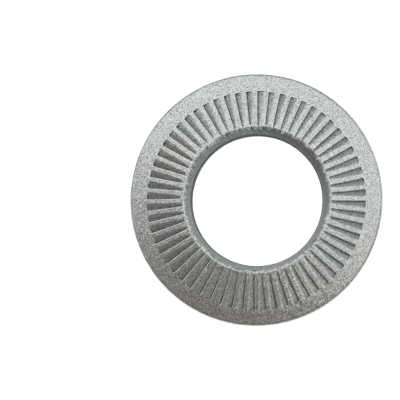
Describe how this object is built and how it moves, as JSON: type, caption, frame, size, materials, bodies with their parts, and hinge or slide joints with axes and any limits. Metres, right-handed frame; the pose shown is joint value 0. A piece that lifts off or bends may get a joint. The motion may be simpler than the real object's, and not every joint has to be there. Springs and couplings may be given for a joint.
{
  "type": "contact washer",
  "caption": "Conical spring washer with a plain outer ring and radial ratchet serrations around its hole, which bite under a bolt head or nut to lock it and make electrical contact.",
  "frame": {"origin": "on the bolt axis, in the plane that the washer's outer heel rests on", "axes": "+Z along the bolt axis, from the hollow side to the serrated crown; the face view in the picture has +X to its right and +Y to its top"},
  "size_m": [0.016, 0.016, 0.0019],
  "materials": {
    "zinc_plated_spring_steel": "mechanically zinc-plated spring steel: matt light grey with a fine peened grain"
  },
  "bodies": {
    "root": {"washer": "zinc_plated_spring_steel"}
  },
  "joints": []
}
